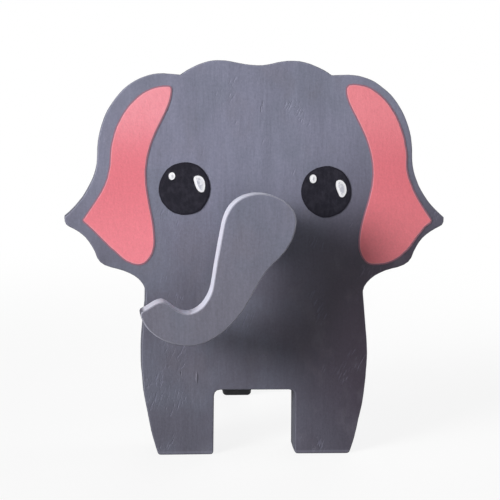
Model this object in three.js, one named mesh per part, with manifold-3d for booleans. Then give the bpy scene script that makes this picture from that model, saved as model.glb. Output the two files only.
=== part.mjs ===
// Elephant-shaped display stand for one pair of eyeglasses, in millimetres, +Z up, front facing -Y.
// A sawn and painted board stands leaned back on its two feet and on a strut hinged to its back.
// The glasses hang on a nose block, in the slot between the board and the trunk in front of it.
import * as THREE from "three";
import { mergeVertices } from "three/addons/utils/BufferGeometryUtils.js";
import Module from "manifold-3d";

const wasm = await Module();
wasm.setup();

// Board and its stance
const LEAN_DEG = 9;
const PANEL_THICKNESS = 12;
const WOOD_EDGE_RADIUS = 0.4;

// Board outline: heights above the feet, and spans measured across both sides
const CROWN_HEIGHT = 120.3;
const CROWN_DIP = 1.5;
const CROWN_BUMP_SPAN = 23;
const NOTCH_SPAN = 46;
const NOTCH_HEIGHT = 115.9;
const EAR_TOP_SPAN = 56.4;
const EAR_TOP_HEIGHT = 116.2;
const EAR_SIDE_SPAN = 96;
const EAR_SIDE_HEIGHT = 92;
const EAR_TIP_SPAN = 116;
const EAR_TIP_HEIGHT = 72.8;
const EAR_TIP_WIDTH = 3.2;
const EAR_LOBE_SPAN = 96.2;
const EAR_LOBE_HEIGHT = 60.4;
const EAR_CHIN_SPAN = 87.6;
const EAR_CHIN_HEIGHT = 57.5;
const WAIST_SPAN = 66.6;
const WAIST_HEIGHT = 50.2;
const HIP_SPAN = 69.2;
const HIP_HEIGHT = 31;
const FOOT_SPAN = 58.8;
const FOOT_CORNER = 1;
const LEG_GAP = 25;
const BELLY_HEIGHT = 19.9;
const BELLY_FILLET = 2;

// Trunk outline, clockwise from its top: each knot with the pulls of the curves before and after it,
// counted from the middle of the trunk's top in shares of its length
const TRUNK_THICKNESS = 12;
const TRUNK_X = -1.4;
const TRUNK_TOP_HEIGHT = 80.9;
const TRUNK_LENGTH = 44.2;
const TRUNK_KNOTS = [
  { at: [0, 0], before: [-0.118, 0], after: [0.136, 0] },
  { at: [0.247, -0.181], before: [0, 0.1], after: [0, -0.095] },
  { at: [0.104, -0.455], before: [0.09, 0.079], after: [-0.045, -0.041] },
  { at: [-0.027, -0.636], before: [0.038, 0.075], after: [-0.093, -0.195] },
  { at: [-0.455, -1], before: [0.179, 0], after: [-0.154, 0] },
  { at: [-0.774, -0.81], before: [0.041, -0.113], after: [-0.007, 0.02] },
  { at: [-0.76, -0.771], before: [-0.016, -0.005], after: [0.041, 0.014] },
  { at: [-0.633, -0.71], before: [-0.043, 0], after: [0.041, 0] },
  { at: [-0.466, -0.792], before: [-0.077, 0], after: [0.09, 0] },
  { at: [-0.292, -0.57], before: [-0.014, -0.122], after: [0.016, 0.118] },
  { at: [-0.231, -0.208], before: [-0.023, -0.118], after: [0.025, 0.131] },
];

// Nose block and its dowels
const GLASSES_SLOT = 15;
const NOSE_X = -2;
const NOSE_TOP_DROP = 2.6;
const NOSE_HEIGHT = 14.1;
const NOSE_TOP_RADIUS = 6.5;
const NOSE_BASE_WIDTH = 16;
const NOSE_BASE_CORNER = 1.5;
const DOWEL_DIAMETER = 5;
const DOWEL_DEPTH = 7.5;
const DOWEL_CHAMFER = 0.5;
const DOWEL_END_GAP = 0.5;
const DOWEL_RISE = 3.3;
const DOWEL_SPACING = 6.8;

// Brushed paint: the pink inner ears, with grey rims left at the edge of the board.
// Rims and pulls are in widths of the common rim, places in shares of the ear's spans and height.
const PAINT_THICKNESS = 0.25;
const EAR_RIM = 3;
const INNER_EARS = [
  {
    name: "left",
    side: -1,
    rims: { top: 1.2, side: 1.2, tip: 1.8, low: 0.2 },
    crestAt: 0.96,
    lowAt: 0.817,
    fullness: 1.57,
    head: [0.905, 0.35],
    temple: 0.3,
    inside: [0.694, 0.477],
    base: [0.699, 0.136],
  },
  {
    name: "right",
    side: 1,
    rims: { top: 0.9, side: 0.53, tip: 1.23, low: 0.2 },
    crestAt: 1.05,
    lowAt: 0.833,
    fullness: 3.4,
    head: [0.965, 0.65],
    temple: 0.235,
    inside: [0.742, 0.486],
    base: [0.721, 0.124],
  },
];

// Brushed paint: the eyes and the glints in them, in shares of the common width and height of an eye.
// Each small glint is an oval, and each large one a drop through the places listed, clockwise.
const EYE_SPACING = 43.4;
const EYE_HEIGHT = 80.9;
const EYE_WIDTH = 15.5;
const EYE_TALL = 15.85;
const EYES = [
  {
    name: "left",
    side: -1,
    shift: [0.001, 0.035],
    size: [1.013, 1.016],
    oval: { at: [-0.249, 0.238], size: [0.142, 0.158] },
    drop: [
      [0.177, 0.232], [0.248, 0.262], [0.324, 0.244],
      [0.381, 0.188], [0.409, 0.092], [0.404, 0.004],
      [0.374, -0.066], [0.32, -0.08], [0.271, -0.054],
      [0.211, 0.03], [0.175, 0.144],
    ],
  },
  {
    name: "right",
    side: 1,
    shift: [-0.01, -0.013],
    size: [0.998, 0.992],
    oval: { at: [-0.264, 0.242], size: [0.152, 0.184] },
    drop: [
      [0.197, 0.208], [0.256, 0.234], [0.322, 0.212],
      [0.379, 0.146], [0.409, 0.041], [0.404, -0.022],
      [0.373, -0.079], [0.333, -0.118], [0.272, -0.11],
      [0.236, -0.055], [0.194, 0.037], [0.178, 0.148],
    ],
  },
];

// Hinge at the back of the board
const HINGE_X = -0.7;
const PIVOT_HEIGHT = 74;
const LEAF_THICKNESS = 1;
const HINGE_WIDTH = 22;
const KNUCKLE_RADIUS = 2;
const MIDDLE_KNUCKLE_WIDTH = 8.4;
const KNUCKLE_GAP = 0.3;
const PIN_RADIUS = 1;
const PIN_HEAD_RADIUS = 1.7;
const PIN_HEAD_THICKNESS = 0.7;
const PLATE_LENGTH = 20;
const PLATE_CORNER = 2;
const PLATE_SCREW_SPACING = 12;
const PLATE_SCREW_RISE = 14;
const SCREW_RADIUS = 1.5;
const SCREW_HEAD_RADIUS = 2.7;
const SCREW_HEAD_THICKNESS = 1;
const SCREW_LENGTH = 9;
const SCREW_SLOT_WIDTH = 0.6;
const SCREW_SLOT_DEPTH = 0.5;
const STRUT_LEAF_LENGTH = 22;

// Strut and its rubber tip
const SPREAD_DEG = 35;
const STRUT_THICKNESS = 4;
const STRUT_TOP_WIDTH = 20;
const STRUT_END_WIDTH = 7.6;
const STRUT_CORNER = 3;
const STRUT_EDGE_RADIUS = 0.4;
const HEEL_RISE = 7;
const RIVET_RADIUS = 1.25;
const RIVET_HEAD_RADIUS = 2.3;
const RIVET_HEAD_THICKNESS = 0.8;
const RIVET_DROP = 8;
const RIVET_SPACING = 8;
const TIP_WALL = 1;
const TIP_SOLE = 2;
const TIP_GRIP = 9;
const TIP_ROUND = 1.2;

// Clearances between pieces
const SEAT_GAP = 0.03;
const HOLE_GAP = 0.05;
const PIN_GAP = 0.05;
const HEEL_GAP = 0.1;

// Fineness of the curves
const CURVE_STEP = 1.6;
const MID_STEP = 1.2;
const DROP_STEPS = 30;
const ROUND_SIDES = 24;

const radians = THREE.MathUtils.degToRad;
const LEAN = radians(LEAN_DEG);
const SPREAD = radians(SPREAD_DEG);
const STRUT_SLOPE = SPREAD - LEAN;
const PIVOT_Y = PANEL_THICKNESS + SEAT_GAP + KNUCKLE_RADIUS;
const PIVOT_FLOOR_HEIGHT = PIVOT_HEIGHT * Math.cos(LEAN) - PIVOT_Y * Math.sin(LEAN);
const SCREW_SEAT = PANEL_THICKNESS + SEAT_GAP + LEAF_THICKNESS + SEAT_GAP;
const SCREW_END = SCREW_SEAT - SCREW_LENGTH;
const STRUT_FRONT = KNUCKLE_RADIUS + SEAT_GAP;
const STRUT_BACK = STRUT_FRONT + STRUT_THICKNESS;
const CUTTER = 400;

function paintedWood(color) {
  return new THREE.MeshStandardMaterial({ color, roughness: 0.62, metalness: 0 });
}

function metal(color) {
  return new THREE.MeshStandardMaterial({ color, roughness: 0.35, metalness: 1 });
}

const materials = {
  grey: paintedWood("#7a7c8e"),
  pink: paintedWood("#ee8a94"),
  pupil: paintedWood("#2a2b33"),
  glint: paintedWood("#f0f0f6"),
  bareWood: new THREE.MeshStandardMaterial({ color: "#d8b88a", roughness: 0.75, metalness: 0 }),
  black: paintedWood("#1c1c1f"),
  rubber: new THREE.MeshStandardMaterial({ color: "#141414", roughness: 0.85, metalness: 0 }),
  steel: metal("#b9bcc2"),
};

// Solids and booleans
function toSolid(geometry) {
  const bare = geometry.index ? geometry.toNonIndexed() : geometry.clone();
  bare.deleteAttribute("normal");
  bare.deleteAttribute("uv");
  const merged = mergeVertices(bare, 1e-4);
  return new wasm.Manifold(
    new wasm.Mesh({
      numProp: 3,
      vertProperties: merged.attributes.position.array,
      triVerts: new Uint32Array(merged.index.array),
    }),
  );
}

function toGeometry(solid) {
  const mesh = solid.getMesh();
  const shared = new THREE.BufferGeometry();
  shared.setAttribute("position", new THREE.BufferAttribute(mesh.vertProperties, 3));
  shared.setIndex(new THREE.BufferAttribute(mesh.triVerts, 1));
  const geometry = shared.toNonIndexed();
  geometry.computeVertexNormals();
  return geometry;
}

function cut(geometry, ...cutters) {
  let solid = toSolid(geometry);
  for (const cutter of cutters) {
    solid = solid.subtract(toSolid(cutter));
  }
  return toGeometry(solid);
}

function join(...geometries) {
  const [first, ...rest] = geometries.map(toSolid);
  return toGeometry(rest.reduce((whole, solid) => whole.add(solid), first));
}

// Outlines
function point([x, y]) {
  return new THREE.Vector2(x, y);
}

function line(from, to) {
  return new THREE.LineCurve(point(from), point(to));
}

function bend(from, pullFrom, pullTo, to) {
  return new THREE.CubicBezierCurve(point(from), point(pullFrom), point(pullTo), point(to));
}

function corner(from, through, to) {
  return new THREE.QuadraticBezierCurve(point(from), point(through), point(to));
}

function shifted([x, y], [dx, dy]) {
  return [x + dx, y + dy];
}

function scaled([x, y], wide, tall = wide) {
  return [x * wide, y * tall];
}

function trace(curves, step) {
  const points = [curves[0].getPoint(0)];
  for (const curve of curves) {
    const count = curve.isLineCurve ? 1 : Math.max(3, Math.round(curve.getLength() / step));
    points.push(...curve.getPoints(count).slice(1));
  }
  return points;
}

function roundedBox(width, low, high, radius) {
  const half = width / 2;
  const shape = new THREE.Shape();
  shape.moveTo(half - radius, high);
  shape.absarc(half - radius, high - radius, radius, Math.PI / 2, 0, true);
  shape.absarc(half - radius, low + radius, radius, 0, -Math.PI / 2, true);
  shape.absarc(-half + radius, low + radius, radius, -Math.PI / 2, -Math.PI, true);
  shape.absarc(-half + radius, high - radius, radius, Math.PI, Math.PI / 2, true);
  return shape;
}

// A flat piece drawn in front view, from frontY back to frontY + thickness, with rounded edges if given
function board(shape, frontY, thickness, edge = 0, segments = 2) {
  const geometry = new THREE.ExtrudeGeometry(shape, {
    depth: thickness - 2 * edge,
    bevelEnabled: edge > 0,
    bevelThickness: edge,
    bevelSize: edge,
    bevelOffset: -edge,
    bevelSegments: segments,
    curveSegments: 6,
  });
  geometry.rotateX(Math.PI / 2);
  geometry.translate(0, frontY + thickness - edge, 0);
  return geometry;
}

// A piece drawn in side view as [y, z] points, width wide across X, with rounded edges if given
function sideBlock(points, width, edge = 0) {
  const geometry = new THREE.ExtrudeGeometry(new THREE.Shape(points.map(point)), {
    depth: width - 2 * edge,
    bevelEnabled: edge > 0,
    bevelThickness: edge,
    bevelSize: edge,
    bevelOffset: -edge,
    bevelSegments: 3,
  });
  const axes = new THREE.Matrix4().makeBasis(
    new THREE.Vector3(0, 1, 0),
    new THREE.Vector3(0, 0, 1),
    new THREE.Vector3(1, 0, 0),
  );
  geometry.applyMatrix4(axes);
  geometry.translate(edge - width / 2, 0, 0);
  return geometry;
}

// A cylinder along Y, from y = from to y = to
function rod(radius, from, to, x, z) {
  const geometry = new THREE.CylinderGeometry(radius, radius, to - from, ROUND_SIDES);
  geometry.translate(x, (from + to) / 2, z);
  return geometry;
}

// A turned piece along Y, from its [radius, y] profile
function turned(profile, x, z) {
  const geometry = new THREE.LatheGeometry(profile.map(point), ROUND_SIDES);
  geometry.translate(x, 0, z);
  return geometry;
}

// A cylinder along X, centred on the pivot
function barrel(radius, from, to) {
  const geometry = new THREE.CylinderGeometry(radius, radius, to - from, ROUND_SIDES);
  geometry.rotateZ(Math.PI / 2);
  geometry.translate((from + to) / 2, 0, 0);
  return geometry;
}

function block(minX, maxX, minY, maxY, minZ, maxZ) {
  const geometry = new THREE.BoxGeometry(maxX - minX, maxY - minY, maxZ - minZ);
  geometry.translate((minX + maxX) / 2, (minY + maxY) / 2, (minZ + maxZ) / 2);
  return geometry;
}

// The right half of the board's outline, from the dip of the crown round to the middle of the belly
const earTip = [EAR_TIP_SPAN / 2, EAR_TIP_HEIGHT];
const earTipLow = [earTip[0] - 0.44 * EAR_TIP_WIDTH, EAR_TIP_HEIGHT - 0.9 * EAR_TIP_WIDTH];
const earLobe = [EAR_LOBE_SPAN / 2, EAR_LOBE_HEIGHT];
const earChin = [EAR_CHIN_SPAN / 2, EAR_CHIN_HEIGHT];
const earTop = [EAR_TOP_SPAN / 2, EAR_TOP_HEIGHT];
const earSide = [EAR_SIDE_SPAN / 2, EAR_SIDE_HEIGHT];
const waist = [WAIST_SPAN / 2, WAIST_HEIGHT];

function crownCurves() {
  const bump = [CROWN_BUMP_SPAN / 2, CROWN_HEIGHT];
  const dip = [0, CROWN_HEIGHT - CROWN_DIP];
  const notch = [NOTCH_SPAN / 2, NOTCH_HEIGHT];
  const rise = bump[0] - dip[0];
  const fall = notch[0] - bump[0];
  return [
    bend(dip, [rise * 0.4, dip[1]], [rise * 0.55, bump[1]], bump),
    bend(bump, [bump[0] + fall * 0.4, bump[1]], [notch[0] - fall * 0.25, notch[1] + 2.1], notch),
    bend(notch, [notch[0] + 1.6, notch[1] + 0.1], [earTop[0] - 1.6, earTop[1]], earTop),
  ];
}

function earCurves() {
  const round = 0.5523;
  const wide = earSide[0] - earTop[0];
  const tall = earTop[1] - earSide[1];
  const drop = earSide[1] - earTip[1];
  const flare = earTip[0] - earSide[0];
  const cove = earTipLow[0] - earLobe[0];
  const coveDrop = earTipLow[1] - earLobe[1];
  return [
    bend(earTop, [earTop[0] + wide * round, earTop[1]], [earSide[0], earSide[1] + tall * round], earSide),
    bend(
      earSide,
      [earSide[0], earSide[1] - drop * 0.42],
      [earTip[0] - flare * 0.56, earTip[1] + drop * 0.24],
      earTip,
    ),
    corner(earTip, [earTip[0], earTipLow[1] + 0.4], earTipLow),
    bend(
      earTipLow,
      [earTipLow[0] - cove * 0.47, earTipLow[1] - coveDrop * 0.19],
      [earLobe[0] + cove * 0.22, earLobe[1] + coveDrop * 0.57],
      earLobe,
    ),
    corner(earLobe, [earLobe[0] - 1, earChin[1] + 0.8], earChin),
  ];
}

function bodyCurves() {
  const hip = [HIP_SPAN / 2, HIP_HEIGHT];
  const foot = FOOT_SPAN / 2;
  const gap = LEG_GAP / 2;
  const pit = earChin[0] - waist[0];
  const pitDrop = earChin[1] - waist[1];
  const side = waist[1] - hip[1];
  return [
    bend(
      earChin,
      [earChin[0] - pit * 0.5, earChin[1] - pitDrop * 0.14],
      [waist[0] + pit * 0.05, waist[1] + pitDrop * 0.5],
      waist,
    ),
    bend(waist, [waist[0] - 0.1, waist[1] - side * 0.2], [hip[0], hip[1] + side * 0.36], hip),
    bend(hip, [hip[0], hip[1] * 0.64], [foot + 2.7, hip[1] * 0.27], [foot + 0.3, FOOT_CORNER]),
    corner([foot + 0.3, FOOT_CORNER], [foot, 0], [foot - FOOT_CORNER, 0]),
    line([foot - FOOT_CORNER, 0], [gap + FOOT_CORNER, 0]),
    corner([gap + FOOT_CORNER, 0], [gap, 0], [gap, FOOT_CORNER]),
    line([gap, FOOT_CORNER], [gap, BELLY_HEIGHT - BELLY_FILLET]),
    corner([gap, BELLY_HEIGHT - BELLY_FILLET], [gap, BELLY_HEIGHT], [gap - BELLY_FILLET, BELLY_HEIGHT]),
    line([gap - BELLY_FILLET, BELLY_HEIGHT], [0, BELLY_HEIGHT]),
  ];
}

function bodyPanel() {
  const right = trace([...crownCurves(), ...earCurves(), ...bodyCurves()], CURVE_STEP);
  const left = right.slice(1, -1).map((p) => new THREE.Vector2(-p.x, p.y));
  const shape = new THREE.Shape([...right, ...left.reverse()]);
  const uncut = board(shape, 0, PANEL_THICKNESS, WOOD_EDGE_RADIUS);
  const floor = block(-CUTTER, CUTTER, -CUTTER, CUTTER, -CUTTER, 0);
  floor.rotateX(LEAN);
  const pilots = plateScrewPlaces().map(([x, z]) =>
    rod(SCREW_RADIUS + SEAT_GAP, SCREW_END - SEAT_GAP, PANEL_THICKNESS + 1, x, z),
  );
  return cut(uncut, floor, ...dowelHoles(-1, DOWEL_DEPTH + DOWEL_END_GAP), ...pilots);
}

// Trunk, nose block and dowels
function trunk() {
  const knots = TRUNK_KNOTS.map(({ at, before, after }) => ({
    at: shifted([TRUNK_X, TRUNK_TOP_HEIGHT], scaled(at, TRUNK_LENGTH)),
    before: scaled(before, TRUNK_LENGTH),
    after: scaled(after, TRUNK_LENGTH),
  }));
  const curves = knots.map((knot, i) => {
    const next = knots[(i + 1) % knots.length];
    return bend(knot.at, shifted(knot.at, knot.after), shifted(next.at, next.before), next.at);
  });
  const shape = new THREE.Shape(trace(curves, MID_STEP).slice(0, -1));
  const back = -GLASSES_SLOT;
  const uncut = board(shape, back - TRUNK_THICKNESS, TRUNK_THICKNESS, WOOD_EDGE_RADIUS);
  return cut(uncut, ...dowelHoles(back - DOWEL_DEPTH - DOWEL_END_GAP, back + 1));
}

function noseTop() {
  return TRUNK_TOP_HEIGHT - NOSE_TOP_DROP;
}

function noseBlock() {
  const left = NOSE_X - NOSE_BASE_WIDTH / 2;
  const right = NOSE_X + NOSE_BASE_WIDTH / 2;
  const low = noseTop() - NOSE_HEIGHT;
  const shoulder = noseTop() - NOSE_TOP_RADIUS;
  const shape = new THREE.Shape();
  shape.moveTo(left + NOSE_BASE_CORNER, low);
  shape.lineTo(right - NOSE_BASE_CORNER, low);
  shape.quadraticCurveTo(right, low, right, low + NOSE_BASE_CORNER);
  shape.lineTo(NOSE_X + NOSE_TOP_RADIUS, shoulder);
  shape.absarc(NOSE_X, shoulder, NOSE_TOP_RADIUS, 0, Math.PI, false);
  shape.lineTo(left, low + NOSE_BASE_CORNER);
  shape.quadraticCurveTo(left, low, left + NOSE_BASE_CORNER, low);
  const uncut = board(shape, SEAT_GAP - GLASSES_SLOT, GLASSES_SLOT - 2 * SEAT_GAP);
  return cut(uncut, ...dowelHoles(-GLASSES_SLOT - 1, 1));
}

function dowelHeights() {
  const lowest = noseTop() - NOSE_HEIGHT + DOWEL_RISE;
  return [lowest, lowest + DOWEL_SPACING];
}

function dowelHoles(from, to) {
  return dowelHeights().map((height) => rod(DOWEL_DIAMETER / 2 + HOLE_GAP, from, to, NOSE_X, height));
}

function dowel(height) {
  const radius = DOWEL_DIAMETER / 2;
  const front = -GLASSES_SLOT - DOWEL_DEPTH;
  const back = DOWEL_DEPTH;
  const profile = [
    [0, front],
    [radius - DOWEL_CHAMFER, front],
    [radius, front + DOWEL_CHAMFER],
    [radius, back - DOWEL_CHAMFER],
    [radius - DOWEL_CHAMFER, back],
    [0, back],
  ];
  return turned(profile, NOSE_X, height);
}

// Paint
function innerEar(ear) {
  const { rims } = ear;
  const tall = EAR_TOP_HEIGHT - EAR_CHIN_HEIGHT;
  const crest = [earTop[0] * ear.crestAt, EAR_TOP_HEIGHT - EAR_RIM * rims.top];
  const head = [earTop[0] * ear.head[0], crest[1] - EAR_RIM * ear.head[1]];
  const flank = [earSide[0] - EAR_RIM * rims.side, EAR_SIDE_HEIGHT - EAR_RIM * 0.67];
  const tip = [earTip[0] - EAR_RIM * rims.tip, EAR_TIP_HEIGHT - EAR_RIM * 0.27];
  const tipLow = [tip[0] - EAR_RIM * 0.4, tip[1] - EAR_RIM * 0.53];
  const low = [earChin[0] * ear.lowAt, EAR_CHIN_HEIGHT + EAR_RIM * rims.low];
  const base = [earChin[0] * ear.base[0], EAR_CHIN_HEIGHT + tall * ear.base[1]];
  const inside = [earSide[0] * ear.inside[0], EAR_CHIN_HEIGHT + tall * ear.inside[1]];
  const wide = flank[0] - crest[0];
  const drop = flank[1] - tip[1];
  const turn = base[1] - low[1];
  const neck = inside[1] - base[1];
  const temple = head[1] - inside[1];
  const outline = trace(
    [
      corner(head, [head[0], crest[1]], crest),
      bend(
        crest,
        [crest[0] + wide * 0.6, crest[1]],
        [flank[0], flank[1] + (crest[1] - flank[1]) * 0.47],
        flank,
      ),
      bend(flank, [flank[0], flank[1] - drop * 0.42], [tip[0] - EAR_RIM, tip[1] + drop * 0.27], tip),
      corner(tip, [tip[0], tip[1] - EAR_RIM * 0.3], tipLow),
      bend(
        tipLow,
        [tipLow[0] - EAR_RIM * 1.5, tipLow[1] - EAR_RIM * 1.2],
        [low[0] + EAR_RIM * ear.fullness, low[1]],
        low,
      ),
      bend(low, [low[0] - EAR_RIM, low[1]], [base[0], base[1] - turn * 0.54], base),
      bend(base, [base[0], base[1] + neck * 0.35], [inside[0], inside[1] - neck * 0.35], inside),
      bend(inside, [inside[0], inside[1] + temple * 0.49], [head[0], head[1] - temple * ear.temple], head),
    ],
    MID_STEP,
  ).slice(0, -1);
  return paint(
    outline.map((p) => new THREE.Vector2(ear.side * p.x, p.y)),
    1,
  );
}

function inEye(share) {
  return scaled(share, EYE_WIDTH, EYE_TALL);
}

function oval([x, z], [width, tall]) {
  const curve = new THREE.EllipseCurve(x, z, width / 2, tall / 2, 0, 2 * Math.PI, false, 0);
  return curve.getPoints(ROUND_SIDES * 2).slice(0, -1);
}

function roundDrop(knots) {
  const curve = new THREE.CatmullRomCurve3(
    knots.map(([x, z]) => new THREE.Vector3(x, z, 0)),
    true,
  );
  return curve.getPoints(DROP_STEPS).slice(0, -1);
}

// A coat of paint on the board, or on the coat below it where layer is 2
function paint(outline, layer) {
  const shape = new THREE.Shape(outline.map((p) => new THREE.Vector2(p.x, p.y)));
  return board(shape, -layer * (PAINT_THICKNESS + SEAT_GAP), PAINT_THICKNESS);
}

// Hinge and its screws, about a pivot line at the origin
function plateScrewPlaces() {
  return [-1, 1].map((side) => [
    HINGE_X + (side * PLATE_SCREW_SPACING) / 2,
    PIVOT_HEIGHT + PLATE_SCREW_RISE,
  ]);
}

// One hinge leaf: its plate runs from the pivot along +Z, tangent to its knuckles at their -Y side
function leaf(length, knuckles, notches, holes, holeRadius) {
  const half = HINGE_WIDTH / 2;
  const low = KNUCKLE_RADIUS + KNUCKLE_GAP;
  const face = LEAF_THICKNESS - KNUCKLE_RADIUS;
  const plate = board(roundedBox(HINGE_WIDTH, low, length, PLATE_CORNER), -KNUCKLE_RADIUS, LEAF_THICKNESS);
  const square = block(-half, half, -KNUCKLE_RADIUS, face, low, length / 2);
  const rolls = knuckles.flatMap(([from, to]) => [
    barrel(KNUCKLE_RADIUS, from, to),
    block(from, to, -KNUCKLE_RADIUS, face, 0, length / 2),
  ]);
  const bores = holes.map(([x, z]) => rod(holeRadius, -KNUCKLE_RADIUS - 1, KNUCKLE_RADIUS + 1, x, z));
  const eye = barrel(PIN_RADIUS + PIN_GAP, -HINGE_WIDTH, HINGE_WIDTH);
  const clear = notches.map(([from, to]) => block(from, to, -CUTTER, CUTTER, -low, low));
  return cut(join(plate, square, ...rolls), eye, ...clear, ...bores);
}

function hingePlate() {
  const half = HINGE_WIDTH / 2;
  const middle = MIDDLE_KNUCKLE_WIDTH / 2 + KNUCKLE_GAP;
  const holes = plateScrewPlaces().map(([x, z]) => [x - HINGE_X, z - PIVOT_HEIGHT]);
  return leaf(
    PLATE_LENGTH,
    [
      [-half, -middle],
      [middle, half],
    ],
    [[-middle, middle]],
    holes,
    SCREW_RADIUS + HOLE_GAP,
  );
}

function strutLeaf() {
  const middle = MIDDLE_KNUCKLE_WIDTH / 2;
  const half = HINGE_WIDTH / 2 + 1;
  const holes = rivetDrops().map((drop) => [0, drop]);
  const geometry = leaf(
    STRUT_LEAF_LENGTH,
    [[-middle, middle]],
    [
      [-half, -middle],
      [middle, half],
    ],
    holes,
    RIVET_RADIUS + SEAT_GAP,
  );
  geometry.rotateX(Math.PI);
  return geometry;
}

function hingePin() {
  const end = HINGE_WIDTH / 2 + SEAT_GAP;
  const head = end + PIN_HEAD_THICKNESS;
  const dome = PIN_HEAD_RADIUS * 0.7;
  const geometry = turned(
    [
      [0, -head],
      [dome, -head],
      [PIN_HEAD_RADIUS, -end - PIN_HEAD_THICKNESS / 2],
      [PIN_HEAD_RADIUS, -end],
      [PIN_RADIUS, -end],
      [PIN_RADIUS, end],
      [PIN_HEAD_RADIUS, end],
      [PIN_HEAD_RADIUS, end + PIN_HEAD_THICKNESS / 2],
      [dome, head],
      [0, head],
    ],
    0,
    0,
  );
  geometry.rotateZ(Math.PI / 2);
  return geometry;
}

// A slotted screw driven along -Y, its head seated on the hinge plate
function plateScrew([x, z]) {
  const top = SCREW_SEAT + SCREW_HEAD_THICKNESS;
  const body = turned(
    [
      [0, SCREW_END],
      [SCREW_RADIUS * 0.4, SCREW_END + SCREW_RADIUS],
      [SCREW_RADIUS, SCREW_END + 2 * SCREW_RADIUS],
      [SCREW_RADIUS, SCREW_SEAT],
      [SCREW_HEAD_RADIUS, SCREW_SEAT],
      [SCREW_HEAD_RADIUS, SCREW_SEAT + SCREW_HEAD_THICKNESS * 0.45],
      [SCREW_HEAD_RADIUS * 0.75, top],
      [0, top],
    ],
    x,
    z,
  );
  const slot = block(
    x - SCREW_HEAD_RADIUS,
    x + SCREW_HEAD_RADIUS,
    top - SCREW_SLOT_DEPTH,
    top + 1,
    z - SCREW_SLOT_WIDTH / 2,
    z + SCREW_SLOT_WIDTH / 2,
  );
  return cut(body, slot);
}

// Strut, drawn closed against the board, with the pivot at the origin
function floorDrop(y) {
  return -(PIVOT_FLOOR_HEIGHT + y * Math.sin(STRUT_SLOPE)) / Math.cos(STRUT_SLOPE);
}

function rivetDrops() {
  return [RIVET_DROP, RIVET_DROP + RIVET_SPACING];
}

function strutEnd() {
  return floorDrop(STRUT_FRONT) + TIP_SOLE;
}

function strut() {
  const end = strutEnd();
  const half = STRUT_TOP_WIDTH / 2;
  const shape = new THREE.Shape();
  shape.moveTo(half - STRUT_CORNER, HEEL_RISE);
  shape.absarc(half - STRUT_CORNER, HEEL_RISE - STRUT_CORNER, STRUT_CORNER, Math.PI / 2, 0, true);
  shape.lineTo(half, -STRUT_LEAF_LENGTH);
  shape.lineTo(STRUT_END_WIDTH / 2, end + TIP_GRIP);
  shape.lineTo(STRUT_END_WIDTH / 2, end);
  shape.lineTo(-STRUT_END_WIDTH / 2, end);
  shape.lineTo(-STRUT_END_WIDTH / 2, end + TIP_GRIP);
  shape.lineTo(-half, -STRUT_LEAF_LENGTH);
  shape.absarc(-half + STRUT_CORNER, HEEL_RISE - STRUT_CORNER, STRUT_CORNER, Math.PI, Math.PI / 2, true);
  const uncut = board(shape, STRUT_FRONT, STRUT_THICKNESS, STRUT_EDGE_RADIUS, 1);
  const stop = block(-CUTTER, CUTTER, -CUTTER, HEEL_GAP - KNUCKLE_RADIUS + LEAF_THICKNESS, 0, CUTTER);
  stop.rotateX(-SPREAD);
  const bores = rivetDrops().map((drop) => rod(RIVET_RADIUS + SEAT_GAP, 0, STRUT_BACK + 1, 0, -drop));
  return cut(uncut, stop, ...bores);
}

function strutTip() {
  const front = STRUT_FRONT - SEAT_GAP - TIP_WALL;
  const back = STRUT_BACK + SEAT_GAP + TIP_WALL;
  const top = strutEnd() + TIP_GRIP;
  const side = [
    [front, floorDrop(front)],
    [back, floorDrop(back)],
    [back, top],
    [front, top],
  ];
  const half = STRUT_END_WIDTH / 2 + SEAT_GAP;
  const seat = strutEnd() - SEAT_GAP;
  const shoe = sideBlock(side, 2 * (half + TIP_WALL), TIP_ROUND);
  const pocket = block(-half, half, STRUT_FRONT - SEAT_GAP, STRUT_BACK + SEAT_GAP, seat, top + 1);
  return cut(shoe, pocket);
}

function rivet(drop) {
  const front = STRUT_FRONT - SEAT_GAP - LEAF_THICKNESS - SEAT_GAP;
  const back = STRUT_BACK + SEAT_GAP;
  const profile = [
    [0, front - RIVET_HEAD_THICKNESS],
    [RIVET_HEAD_RADIUS * 0.6, front - RIVET_HEAD_THICKNESS * 0.85],
    [RIVET_HEAD_RADIUS, front],
    [RIVET_RADIUS, front],
    [RIVET_RADIUS, back],
    [RIVET_HEAD_RADIUS, back],
    [RIVET_HEAD_RADIUS * 0.6, back + RIVET_HEAD_THICKNESS * 0.85],
    [0, back + RIVET_HEAD_THICKNESS],
  ];
  return turned(profile, 0, -drop);
}

// Assembly
function piece(name, geometry, material) {
  const mesh = new THREE.Mesh(geometry, material);
  mesh.name = name;
  return mesh;
}

function buildStrut() {
  const group = new THREE.Group();
  group.add(piece("strut", strut(), materials.black));
  group.add(piece("strut_tip", strutTip(), materials.rubber));
  group.add(piece("strut_leaf", strutLeaf(), materials.steel));
  rivetDrops().forEach((drop, i) => {
    group.add(piece(`strut_rivet_${["upper", "lower"][i]}`, rivet(drop), materials.steel));
  });
  return group;
}

function buildFace() {
  const group = new THREE.Group();
  for (const ear of INNER_EARS) {
    group.add(piece(`inner_ear_${ear.name}`, innerEar(ear), materials.pink));
  }
  for (const eye of EYES) {
    const middle = shifted([(eye.side * EYE_SPACING) / 2, EYE_HEIGHT], inEye(eye.shift));
    const small = oval(shifted(middle, inEye(eye.oval.at)), inEye(eye.oval.size));
    const large = roundDrop(eye.drop.map((knot) => shifted(middle, inEye(knot))));
    group.add(piece(`eye_${eye.name}`, paint(oval(middle, inEye(eye.size)), 1), materials.pupil));
    group.add(piece(`glint_small_${eye.name}`, paint(small, 2), materials.glint));
    group.add(piece(`glint_large_${eye.name}`, paint(large, 2), materials.glint));
  }
  return group;
}

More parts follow.
